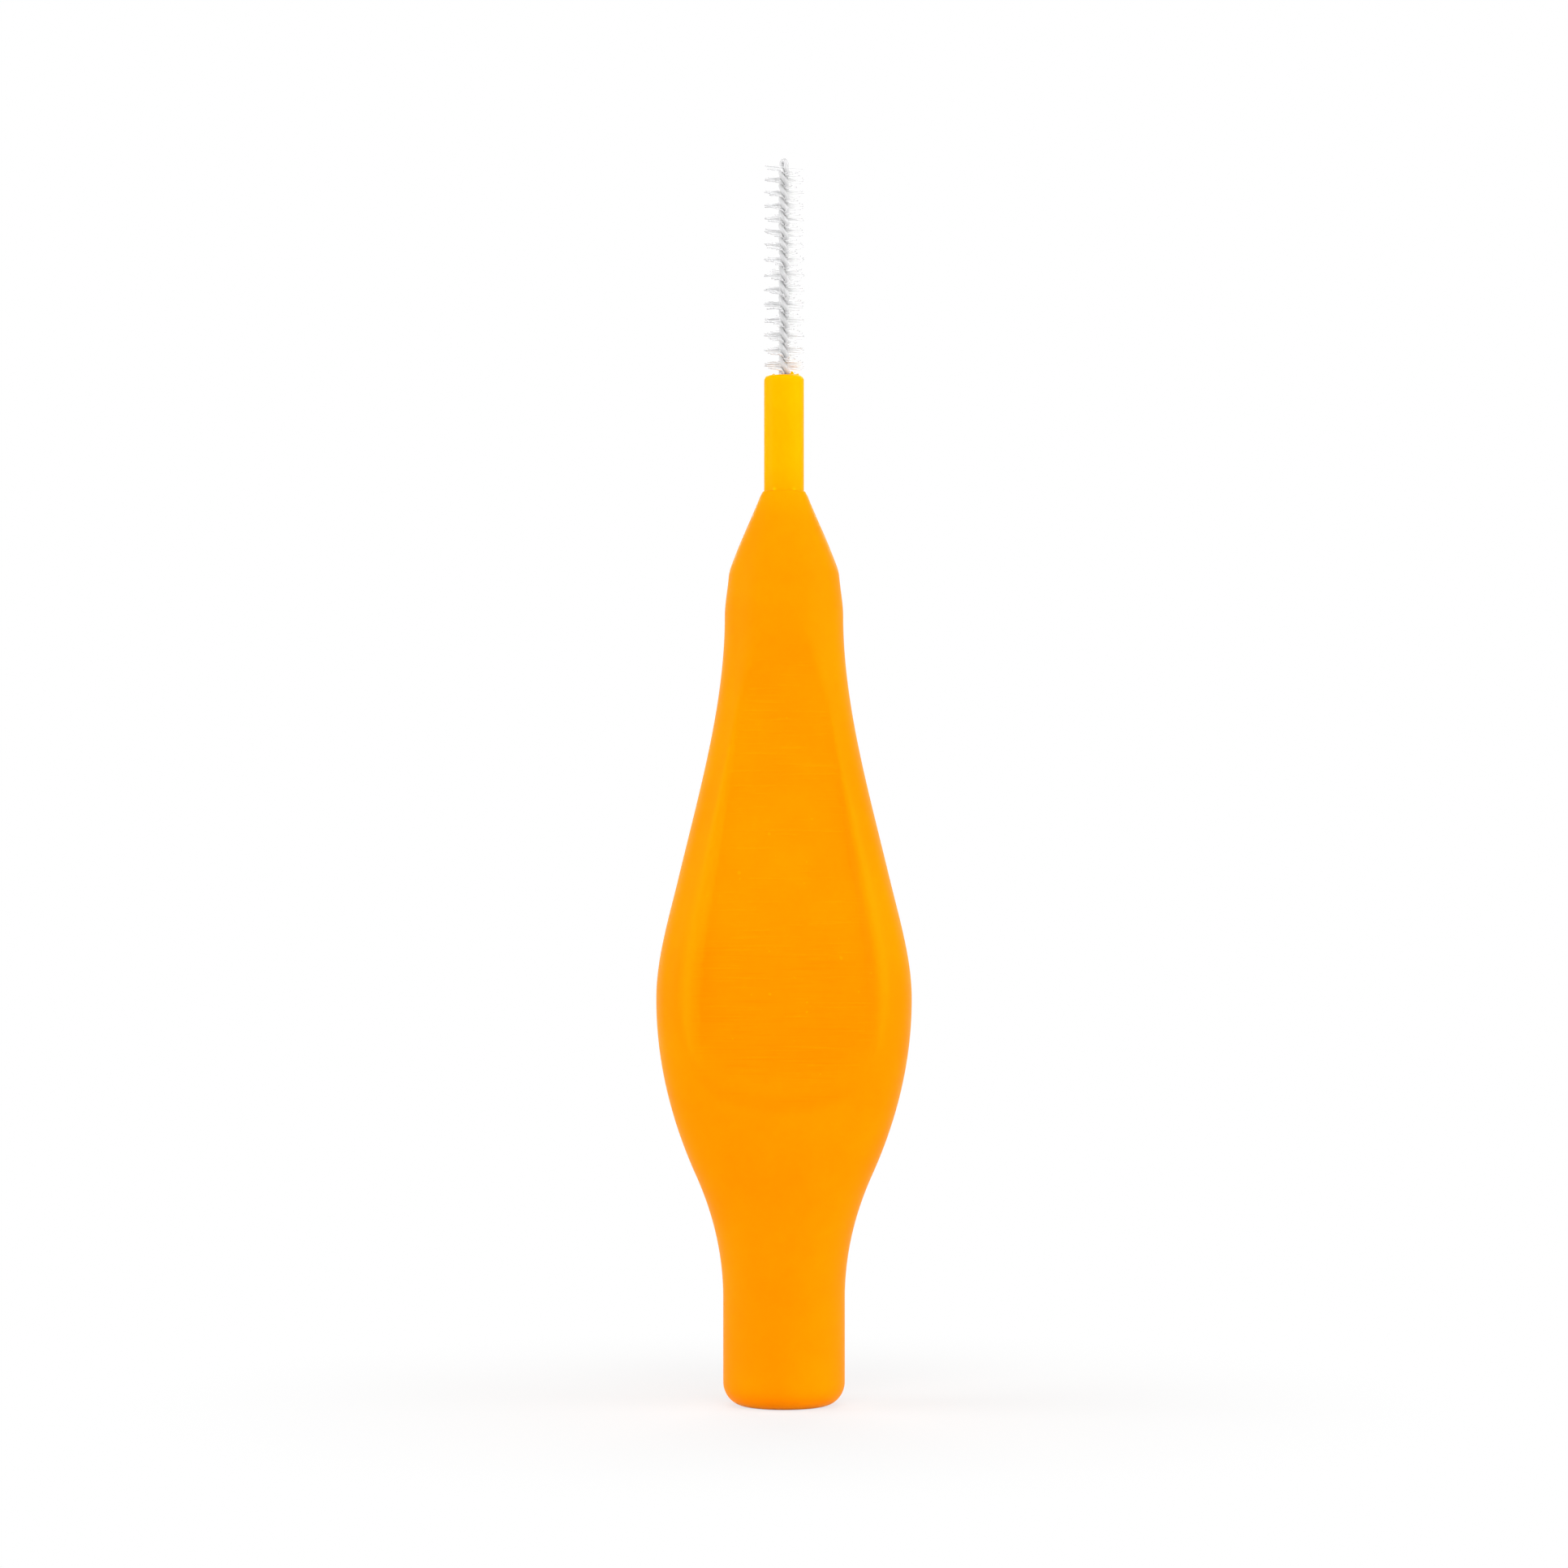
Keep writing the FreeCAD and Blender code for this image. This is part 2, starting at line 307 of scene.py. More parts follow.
class Bench:
    """A node tree that is being wired up."""

    def __init__(self, owner: Any) -> None:
        """Clears the node tree of a material or a world and works on it."""
        owner.use_nodes = True
        self.tree = owner.node_tree
        self.tree.nodes.clear()

    def add(self, kind: str, settings: dict[str, Any], inputs: dict[Any, Any], output: Any = 0) -> Shade:
        """Adds a node.

        Args:
            kind: Type of the node.
            settings: Properties of the node, which are set first.
            inputs: Value or socket for each input, by name or by number.
            output: Name or number of the output that is wanted.

        Returns:
            That output.
        """
        node = self.tree.nodes.new(kind)
        for key, value in settings.items():
            setattr(node, key, value)
        for key, value in inputs.items():
            if isinstance(value, Shade):
                self.tree.links.new(value.socket, node.inputs[key])
            else:
                node.inputs[key].default_value = value
        return Shade(self, node, output)

    def place(self) -> Shade:
        """Gives the point on the piece in metres."""
        return self.add("ShaderNodeTexCoord", {}, {}, "Object")

    def stretched(self, scale: Triple) -> Shade:
        """Gives the point on the piece in metres, with each axis multiplied by a number."""
        inputs = {0: self.place(), 1: scale}
        return self.add("ShaderNodeVectorMath", {"operation": "MULTIPLY"}, inputs, "Vector")

    def height(self) -> Shade:
        """Gives the height on the piece in metres."""
        return self.add("ShaderNodeSeparateXYZ", {}, {0: self.place()}, "Z")

    def attribute(self, name: str) -> Shade:
        """Gives a number that the mesh carries at its points."""
        return self.add("ShaderNodeAttribute", {"attribute_name": name}, {}, "Fac")

    def noise(self, spot: Shade, scale: float, detail: float = 2.0, roughness: float = 0.55) -> Shade:
        """Gives cloudy noise from 0 to 1 with a number of lumps to each unit of the spot."""
        inputs = {"Vector": spot, "Scale": scale, "Detail": detail, "Roughness": roughness}
        return self.add("ShaderNodeTexNoise", {}, inputs, "Fac")

    def mix(self, factor: Any, first: Any, second: Any) -> Shade:
        """Mixes two colours: the first at factor 0 and the second at factor 1."""
        settings = {"data_type": "RGBA", "clamp_factor": True}
        inputs = {0: factor, 6: self.paint(first), 7: self.paint(second)}
        return self.add("ShaderNodeMix", settings, inputs, 2)

    def bump(self, height: Shade, relief: float) -> Shade:
        """Gives a normal that is tilted by a height from 0 to 1, whose relief is in millimetres."""
        inputs = {"Height": height, "Distance": relief * MM, "Strength": 1.0}
        return self.add("ShaderNodeBump", {}, inputs, "Normal")

    def seen_directly(self) -> Shade:
        """Gives 1 on rays from the camera and on mirrored and passed-through ones, and 0 on others."""
        camera = self.add("ShaderNodeLightPath", {}, {}, "Is Camera Ray")
        mirrored = self.add("ShaderNodeLightPath", {}, {}, "Is Glossy Ray")
        passed = self.add("ShaderNodeLightPath", {}, {}, "Is Transmission Ray")
        return camera.over(mirrored).over(passed)

    def finish(self, inputs: dict[str, Any]) -> None:
        """Ends the tree with a Principled surface."""
        surface = self.add("ShaderNodeBsdfPrincipled", {}, inputs, "BSDF")
        self.add("ShaderNodeOutputMaterial", {}, {"Surface": surface})

    @staticmethod
    def paint(colour: Any) -> Any:
        """Gives a plain colour its fourth number, and leaves a socket as it is."""
        return (*colour, 1.0) if isinstance(colour, tuple) else colour


@dataclass(frozen=True)
class MouldedPlastic:
    """Coloured moulding compound with a satin skin, cloudy flow marks and fine tool marks in its scoops.

    A pair of ends says where on a noise, or at which heights, a smooth step begins and is complete.

    Attributes:
        name: Name of the material.
        deep: Colour of the deeper clouds.
        pale: Colour of the paler clouds.
        edge: Paler colour of specks, pale tool marks and flash, and of the painted highlight on the scoop's
            rim.
        floor_shade_and_furrows: Colour of the painted shade on the scoops' floors and of their deepest tool
            marks.
        joint_light_and_shade: Colour that it runs into where grip and neck meet: painted light on the nose,
            painted shade on the neck.
        joint_light_and_shade_ends: Heights of that.
        roughness: Mean roughness of the skin.
        glow: Share of the light that goes in under the skin.
        sheen: Tint of the sheen and of the reflections.
        cloud_scale: Clouds to a metre.
        cloud_ends: Ends of the step from deep clouds to pale ones.
        grain_scale: Grains of the skin to a metre.
        cut_scale: Tool marks to a metre along each axis.
        mark_ends: Ends of the pale tool marks.
        furrow_ends: Ends of the deep tool marks.
        speck_scale: Specks to a metre.
        speck_ends: Ends of the specks.
        mark_paleness: How far a pale tool mark goes towards the edge's colour.
        furrow_tone: Share of the shade colour painted on the scoop's floor, and what a deep tool mark adds
            to it.
        highlight_and_flash_paleness: How far the painted highlight on the scoop's rim, and the flash, go
            towards the edge's colour.
        relief: Height of the relief.
        relief_shares: Shares of the grain, the marks and the clouds in the relief.
        roughness_shares: How much the grain, the marks and the clouds change the roughness.
    """

    name: str
    deep: Colour
    pale: Colour
    edge: Colour
    floor_shade_and_furrows: Colour
    joint_light_and_shade: Colour
    joint_light_and_shade_ends: Pair
    roughness: float
    glow: float
    sheen: Colour
    cloud_scale: float = 210.0
    cloud_ends: Pair = (0.3, 0.7)
    grain_scale: float = 7000.0
    cut_scale: Triple = (260.0, 260.0, 9000.0)
    mark_ends: Pair = (0.55, 0.7)
    furrow_ends: Pair = (0.46, 0.3)
    speck_scale: float = 2600.0
    speck_ends: Pair = (0.74, 0.8)
    mark_paleness: float = 0.4
    furrow_tone: Pair = (0.3, 0.3)
    highlight_and_flash_paleness: float = 0.8
    relief: float = 0.012
    relief_shares: Triple = (0.35, 0.5, 0.4)
    roughness_shares: Triple = (0.16, 0.08, 0.08)

    def material(self) -> bpy.types.Material:
        """Wires the finish.

        Returns:
            The material.
        """
        made = bpy.data.materials.new(self.name)
        bench = Bench(made)
        cloud = bench.noise(bench.place(), self.cloud_scale, detail=3.0)
        grain = bench.noise(bench.place(), self.grain_scale)
        cuts = bench.noise(bench.stretched(self.cut_scale), 1.0, detail=3.0)
        specks = bench.noise(bench.place(), self.speck_scale, detail=1.0)
        marks = bench.attribute("scoop") * cuts.band(self.mark_ends)
        # Painted shade on the scoop's floor, deepened along the deep tool marks.
        painted_floor_shade, furrow_tone = self.furrow_tone
        shade_and_furrows = bench.attribute("floor_shade_and_furrows") * (cuts.band(self.furrow_ends) * furrow_tone + painted_floor_shade)
        bright = marks * self.mark_paleness + bench.attribute("scoop") * specks.band(self.speck_ends)
        colour = bench.mix(cloud.band(self.cloud_ends), self.deep, self.pale)
        low, high = self.joint_light_and_shade_ends
        # Painted light on the grip's nose and painted shade at the foot of the neck, where the two meet.
        colour = bench.mix(bench.height().band((low * MM, high * MM)), colour, self.joint_light_and_shade)
        colour = bench.mix(shade_and_furrows, colour, self.floor_shade_and_furrows)
        # The painted highlight on the scoop's rim, the neck's flash, pale tool marks and specks go towards
        # the paler colour.
        colour = bench.mix(bench.attribute("rim_highlight_and_flash") * self.highlight_and_flash_paleness + bright, colour, self.edge)
        by_grain, by_marks, by_clouds = self.relief_shares
        relief = grain * by_grain + marks * by_marks + cloud * by_clouds
        by_grain, by_marks, by_clouds = self.roughness_shares
        uneven = (grain - 0.5) * by_grain + cloud * by_clouds
        bench.finish({
            "Base Color": colour,
            "Roughness": uneven + (self.roughness - by_clouds / 2) - marks * by_marks,
            "Normal": bench.bump(relief, self.relief),
            "IOR": 1.49,
            "Specular IOR Level": 0.02,
            "Sheen Weight": 0.25,
            "Sheen Roughness": 0.4,
            "Sheen Tint": bench.paint(self.sheen),
            "Specular Tint": bench.paint(self.sheen),
            "Subsurface Weight": self.glow,
            "Subsurface Radius": (1.0, 0.35, 0.06),
            "Subsurface Scale": 1.2 * MM,
        })
        return made


@dataclass(frozen=True)
class DrawnSteel:
    """Drawn wire with hairlines along it and a duller patch here and there.

    Attributes:
        name: Name of the material.
        bright: Colour of the bright wire.
        dull: Colour of the duller patches.
        metallic: How far the wire reflects as bare metal does.
        roughness: Mean roughness.
        hairline_scale: Hairlines to a unit around the wire and to a millimetre along it.
        patch_scale: Patches to a metre.
        patch_ends: Where on the noise a patch begins and is complete.
        roughness_shares: How much the hairlines and the patches change the roughness.
        relief: Height of the hairlines.
    """

    name: str
    bright: Colour
    dull: Colour
    metallic: float
    roughness: float
    hairline_scale: Pair = (9.0, 0.7)
    patch_scale: float = 1500.0
    patch_ends: Pair = (0.35, 0.75)
    roughness_shares: Pair = (0.18, 0.1)
    relief: float = 0.004

    def material(self) -> bpy.types.Material:
        """Wires the finish.

        Returns:
            The material.
        """
        made = bpy.data.materials.new(self.name)
        bench = Bench(made)
        around, along = self.hairline_scale
        lengthways = {0: bench.attribute("around") * around, 1: bench.attribute("along") * along}
        hairlines = bench.noise(bench.add("ShaderNodeCombineXYZ", {}, lengthways), 1.0, detail=4.0)
        patches = bench.noise(bench.place(), self.patch_scale)
        by_hairlines, by_patches = self.roughness_shares
        smoothest = self.roughness - (by_hairlines + by_patches) / 2
        bench.finish({
            "Base Color": bench.mix(patches.band(self.patch_ends), self.bright, self.dull),
            "Metallic": self.metallic,
            "Roughness": hairlines * by_hairlines + patches * by_patches + smoothest,
            "Normal": bench.bump(hairlines, self.relief),
        })
        return made


@dataclass(frozen=True)
class NylonFilament:
    """Milky extruded filament, a little different from one to the next, with painted shade at its cut tip
    and on the left.

    Attributes:
        name: Name of the material.
        milky: Colour of the milkiest filaments.
        clear: Colour of the clearest filaments, and of the painted shade on the filaments to the left.
        root: Colour beside the wire.
        tip: Colour of the cut tip, a painted shade.
        roughness: Mean roughness.
        root_ends: Shares of the reach where the root's colour begins and is complete.
        tip_ends: Shares of the reach where the tip's painted shade begins and is complete.
        streak_scale: Streaks to a metre.
        streak_roughness: How much the streaks change the roughness.
        relief: Height of the streaks.
    """

    name: str
    milky: Colour
    clear: Colour
    root: Colour
    tip: Colour
    roughness: float
    root_ends: Pair = (0.3, 0.2)
    tip_ends: Pair = (0.9, 1.0)
    streak_scale: float = 9000.0
    streak_roughness: float = 0.14
    relief: float = 0.003

    def material(self) -> bpy.types.Material:
        """Wires the finish.

        Returns:
            The material.
        """
        made = bpy.data.materials.new(self.name)
        bench = Bench(made)
        # Tone from milky to clear: partly random, partly painted shade on the filaments to the left.
        colour = bench.mix(bench.attribute("shade"), self.milky, self.clear)
        reach = bench.attribute("reach")
        colour = bench.mix(reach.band(self.root_ends), colour, self.root)
        # Painted shade at the cut tip.
        colour = bench.mix(reach.band(self.tip_ends), colour, self.tip)
        streaks = bench.noise(bench.place(), self.streak_scale)
        smoothest = self.roughness - self.streak_roughness / 2
        bench.finish({
            "Base Color": colour,
            "Roughness": streaks * self.streak_roughness + smoothest,
            "Normal": bench.bump(streaks, self.relief),
            "IOR": 1.53,
            "Transmission Weight": 0.2,
        })
        return made


@dataclass(frozen=True)
class StudioPaper:
    """White paper of the floor, which looks white to the camera and still takes the object's shadow.

    Attributes:
        name: Name of the material.
        colour: Colour that the paper throws back.
        near_glow: Share of pure white beside the tool, where the shadow falls.
        fade: Distances from the tool where that share begins to grow and where all is white.
    """

    name: str
    colour: Colour
    near_glow: float
    fade: Pair

    def material(self) -> bpy.types.Material:
        """Wires the finish.

        Returns:
            The material.
        """
        made = bpy.data.materials.new(self.name)
        bench = Bench(made)
        away = bench.add("ShaderNodeVectorMath", {"operation": "LENGTH"}, {0: bench.place()}, "Value")
        near, far = self.fade
        glow = away.band((near * MM, far * MM)) * (1 - self.near_glow) + self.near_glow
        paper = bench.add("ShaderNodeBsdfDiffuse", {}, {"Color": bench.paint(self.colour)}, "BSDF")
        white = bench.add("ShaderNodeEmission", {}, {"Strength": 1.0}, "Emission")
        mixed = bench.add("ShaderNodeMixShader", {}, {0: bench.seen_directly() * glow, 1: paper, 2: white})
        bench.add("ShaderNodeOutputMaterial", {}, {"Surface": mixed})
        return made


def dress(piece: bpy.types.Object, material: bpy.types.Material, node: str) -> None:
    """Gives a piece its finish and hides the frame node that it stands for.

    Args:
        piece: The piece.
        material: Its material.
        node: The frame node.
    """
    piece.data.materials.append(material)
    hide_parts(node)


@dataclass(frozen=True)
class Outline:
    """A size of the grip along its height: stations with a cubic curve from each to the next.

    Attributes:
        stations: Height, size and slope of each station.
    """

    stations: tuple[Station, ...]

    def size_at(self, heights: np.ndarray) -> np.ndarray:
        """Works out sizes: the Hermite cubic through two stations with their slopes.

        Args:
            heights: Heights.

        Returns:
            The size at each height; past the last stations it stays the same.
        """
        height, size, slope = np.array(self.stations).T
        low = np.clip(np.searchsorted(height, heights, side="right") - 1, 0, len(height) - 2)
        span = height[low + 1] - height[low]
        t = np.clip((heights - height[low]) / span, 0.0, 1.0)
        rise = (size[low + 1] - size[low]) * smooth(t)
        lean_out = t * (1 - t) ** 2 * span * slope[low]
        lean_in = t**2 * (1 - t) * span * slope[low + 1]
        return size[low] + rise + lean_out - lean_in


@dataclass
class Grip:
    """The moulded grip: round butt, pear body with a thumb scoop in each face, shoulder, nose and socket.

    A station is a height, a half-width and its slope there; the crown's slope is the cone's. A focus is how
    wide a stretch of finer mesh is and how much finer it is. The pairs of highlight_place, highlight_width,
    highlight_strength and floor_shade_tone are a value on the left and one on the right: the painted
    highlight on the scoop's rim and the painted shade on its floor are both stronger on the left.
    """

    finish: MouldedPlastic
    butt_radius: float = 3.39
    butt_edge_radius: float = 1.25
    cap_seat_top: float = 6.0
    flare: Station = (12.9, 4.92, 0.45)
    belly_height: float = 22.8
    flank: Station = (29.6, 5.9, -0.24)
    shoulder: Station = (44.3, 3.3, 0.0)
    brow: Station = (46.5, 3.08, -0.08)
    crown: Pair = (47.7, 2.71)
    cone_slope: float = -0.38
    nose_lip: float = 0.08
    lip_round: float = 0.075
    socket_gap: float = 0.01
    belly_half_thickness: float = 4.1
    belly_fullness: float = 1.6
    rim_share: float = 0.70
    rim_flank_share: float = 0.13
    corner_drop: float = 3.5
    corner_squareness: float = 2.5
    rim_soft: float = 0.12
    scoop_step: float = 0.18
    floor_bottom: float = 20.4
    floor_top: float = 35.8
    low_radius: float = 10.0
    high_radius: float = 36.0
    parting_start: float = 0.5
    parting_width: float = 0.1
    parting_height: float = 0.025
    # Place, width and strength of the painted highlight on the scoop's rim, on the left and on the right.
    highlight_place: Pair = (0.95, 1.35)
    highlight_width: Pair = (0.4, 0.8)
    highlight_strength: Pair = (1.0, 0.7)
    mark_depth: float = 0.4
    # The painted shade on the scoop's floor: its edge on the flank, its top and fade, where it thins to the
    # right, and its strength left and right.
    floor_shade_edge: float = 0.3
    floor_shade_top: float = 29.5
    floor_shade_fade: float = 6.0
    floor_shade_right: Pair = (2.0, 5.0)
    floor_shade_tone: Pair = (1.0, 0.4)
    quarter_columns: int = 52
    rim_focus: Pair = (0.075, 4.5)
    side_focus: Pair = (0.25, 2.0)
    seam_focus: Pair = (0.03, 5.0)
    first_ring: float = 0.15
    face_rows: int = 6
    edge_rows: int = 18
    seat_rows: int = 22
    pear_rows: int = 250
    corner_middle: float = 2.0
    corner_focus: Pair = (1.6, 1.8)
    brow_focus: Pair = (1.5, 0.6)
    lip_rows: int = 6
    socket_rows: tuple[float, ...] = (0.0, 0.02, 0.3, 2.0, 4.0)

    def __post_init__(self) -> None:
        """Takes the overall sizes from the frame and draws the outlines."""
        _, high = box_mm(Reference.GRIP.value)
        root, neck_side = box_mm(Reference.NECK.value)
        self.nose_height = float(high[2])
        self.root_height = float(root[2])
        self.neck_radius = float(neck_side[0])
        seat = (self.cap_seat_top, self.butt_radius, 0.0)
        nose = (self.nose_height, self.neck_radius + self.nose_lip, self.cone_slope)
        upper = (self.shoulder, self.brow, (*self.crown, self.cone_slope), nose)
        belly = (self.belly_height, float(high[0]), 0.0)
        self.front = Outline((seat, self.flare, belly, self.flank, *upper))
        self.side = Outline((seat, (self.belly_height, self.belly_half_thickness, 0.0), *upper))
        self.fullness = Outline((
            (self.cap_seat_top, ROUND_FULLNESS, 0.0),
            (self.belly_height, self.belly_fullness, 0.0),
            (self.shoulder[0], ROUND_FULLNESS, 0.0),
        ))

    def butt_profile(self) -> np.ndarray:
        """Draws the butt: a flat face, a rounded edge and the straight cap seat.

        Returns:
            Radius and height of each row, shaped (rows, 2).
        """
        corner = np.array([self.butt_radius, 0.0])
        on_face = corner - np.array([self.butt_edge_radius, 0.0])
        on_side = corner + np.array([0.0, self.butt_edge_radius])
        flat = np.linspace(self.first_ring, 1.0, self.face_rows + 1)[:-1, None] * on_face
        edge = rounded(on_face, corner, on_side, self.edge_rows)
        heights = np.linspace(self.butt_edge_radius, self.cap_seat_top, self.seat_rows + 2)[1:-1]
        seat = np.stack([np.full_like(heights, self.butt_radius), heights], axis=1)
        return np.concatenate([flat, edge, seat])

    def nose_profile(self) -> np.ndarray:
        """Draws the rounded lip of the nose and the socket behind it.

        Returns:
            Radius and height of each row, shaped (rows, 2).
        """
        corner = np.array([self.neck_radius + self.nose_lip, self.nose_height])
        down = np.array([-self.cone_slope, -1.0]) / math.hypot(self.cone_slope, 1.0)
        on_top = corner - np.array([self.lip_round, 0.0])
        lip = rounded(corner + down * self.lip_round, corner, on_top, self.lip_rows)
        depths = np.array([*self.socket_rows, self.nose_height - self.root_height])
        wall = np.full_like(depths, self.neck_radius + self.socket_gap)
        return np.concatenate([lip, np.stack([wall, self.nose_height - depths], axis=1)])

    def skin_at(self, heights: np.ndarray, share: np.ndarray) -> np.ndarray:
        """Works out the oval section: a conic quarter whose weight w is the fullness.

        At a share s of the half-width, it stands 1 - 2w^2(1 - s) - s + 2w sqrt(w^2(1 - s)^2 + s(1 - s))
        of the half-thickness from the middle plane.

        Args:
            heights: Heights.
            share: Share of the half-width, from 0 in the middle to 1 at the side.

        Returns:
            How far the skin is from the middle plane.
        """
        weight = self.fullness.size_at(heights)
        rest = 1 - share
        reach = np.sqrt(np.maximum((weight * rest) ** 2 + share * rest, 0.0))
        return self.side.size_at(heights) * (rest - 2 * weight**2 * rest + 2 * weight * reach)

    def floor_at(self, heights: np.ndarray) -> np.ndarray:
        """Works out the scoop's floor: a straight run a step below the rim, with an outward arc at each end.

        Args:
            heights: Heights.

        Returns:
            How far the floor is from the middle plane; past the arcs it is far outside the grip.
        """
        ends = np.array([self.floor_bottom, self.floor_top])
        low, high = self.skin_at(ends, np.full(2, self.rim_share)) - self.scoop_step
        slope = (high - low) / (self.floor_top - self.floor_bottom)
        lean = math.hypot(slope, 1.0)
        floor = low + slope * (heights - self.floor_bottom)
        for end, level, radius, past in (
            (self.floor_bottom, low, self.low_radius, heights < self.floor_bottom),
            (self.floor_top, high, self.high_radius, heights > self.floor_top),
        ):
            centre_height = end - slope / lean * radius
            centre_level = level + radius / lean
            inside = np.maximum(radius**2 - (heights - centre_height) ** 2, 0.0)
            floor = np.where(past, centre_level - np.sqrt(inside), floor)
        return floor

    def angles(self) -> np.ndarray:
        """Gives the angle of each column, closer together at the scoops' rims, the sides and their seam."""
        rim = (math.acos(self.rim_share), *self.rim_focus)
        focuses = (rim, (0.0, *self.side_focus), (0.0, *self.seam_focus))
        quarter = spread(0.0, math.pi / 2, self.quarter_columns + 1, focuses)
        half = np.concatenate([quarter[:-1], math.pi - quarter[:0:-1]])
        return np.concatenate([half, half + math.pi])

    def rings(self, angle: np.ndarray) -> tuple[np.ndarray, dict[str, np.ndarray]]:
        """Works out the outer skin from the butt to the nose.

        A ring is an oval section. Inside the rim, which follows the grip's outline and closes below in half
        a squarish ellipse, the oval gives way to the scoop's floor where that lies deeper, over a soft
        flank. A fine seam, a bell curve of the distance from the middle plane, runs down both sides.

        Args:
            angle: Angle of each column.

        Returns:
            Ring points, shaped (rows, columns, 3), and the values that go with them.
        """
        butt = self.butt_profile()
        corner = (self.floor_bottom - self.corner_middle, *self.corner_focus)
        focuses = (corner, (self.brow[0], *self.brow_focus))
        pear = spread(self.cap_seat_top, self.nose_profile()[0, 1], self.pear_rows, focuses)[:-1]
        height = np.concatenate([butt[:, 1], pear])[:, None]
        width = np.concatenate([butt[:, 0], self.front.size_at(pear)])[:, None]
        share = np.abs(np.cos(angle))
        across = width * np.cos(angle)
        on_butt = butt[:, :1] * np.abs(np.sin(angle))
        skin = np.concatenate([on_butt, self.skin_at(pear[:, None], share)])

        depth = skin - self.floor_at(height)
        depth = (depth + np.sqrt(depth**2 + self.rim_soft**2)) / 2
        drop = np.maximum(self.floor_bottom - height, 0.0) / self.corner_drop
        square = self.corner_squareness
        outwards = ((share / self.rim_share) ** square + drop**square) ** (1 / square)
        past_floor = (outwards - 1) * self.rim_share / self.rim_flank_share + 0.5
        inside = (1 - smooth(past_floor)) * (height > self.cap_seat_top)
        level = skin - depth * inside
        seam = self.parting_height * np.exp(-((level / self.parting_width) ** 2)) * share**2
        across = across + np.sign(np.cos(angle)) * seam * smooth(height - self.parting_start)
        rings = np.stack([across, level * np.sign(np.sin(angle)), height + 0 * across], axis=-1)
        return rings, {
            "scoop": inside * smooth(depth / self.scoop_step - self.mark_depth),
            # A painted highlight along the rim's flank, stronger on the left.
            "rim_highlight_and_flash": self.painted_rim_highlight(across, past_floor) * smooth(depth / self.rim_soft),
            # Painted shade on the scoop's floor, deeper low down and on the left.
            "floor_shade_and_furrows": self.painted_floor_shade_at(across, height, past_floor),
        }

    def painted_rim_highlight(self, across: np.ndarray, past_floor: np.ndarray) -> np.ndarray:
        """Works out the painted highlight on the scoop's rim: a bell curve up the flank, broad and weaker on
        the right.

        Args:
            across: Distance to the right of the middle.
            past_floor: Way up the rim's flank: 0 at the floor's edge and 1 at the top.

        Returns:
            The painted highlight, from 0 to 1.
        """
        right = smooth(across)
        off = (past_floor - between(self.highlight_place, right)) / between(self.highlight_width, right)
        return np.exp(-(off**2)) * between(self.highlight_strength, right)

    def painted_floor_shade_at(self, across: np.ndarray, height: np.ndarray, past_floor: np.ndarray) -> np.ndarray:
        """Works out the painted shade on the scoop's floor, which fades upwards and towards the right.

        Args:
            across: Distance to the right of the middle.
            height: Height.
            past_floor: Way up the rim's flank: 0 at the floor's edge and 1 at the top.

        Returns:
            The painted shade, from 0 to 1.
        """
        start, end = self.floor_shade_right
        on_floor = 1 - smooth(past_floor - self.floor_shade_edge)
        low_down = smooth((self.floor_shade_top - height) / self.floor_shade_fade)
        return on_floor * low_down * between(self.floor_shade_tone, smooth((across - start) / (end - start)))

    def build(self) -> bpy.types.Object:
        """Makes the grip.

        Returns:
            The piece, dressed and riding on the handle.
        """
        angle = self.angles()
        skin, values = self.rings(angle)
        nose = turned(self.nose_profile(), angle)
        rings = np.concatenate([skin, nose])[None]
        bare = np.zeros(nose.shape[:2])
        values = {key: np.concatenate([value, bare])[None] for key, value in values.items()}
        poles = np.array([[0.0 * UPRIGHT, self.root_height * UPRIGHT]])
        piece = Tubes(rings, poles, values).piece("grip_moulding")
        dress(piece, self.finish.material(), Reference.GRIP.value)
        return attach(piece, Body.HANDLE.value)


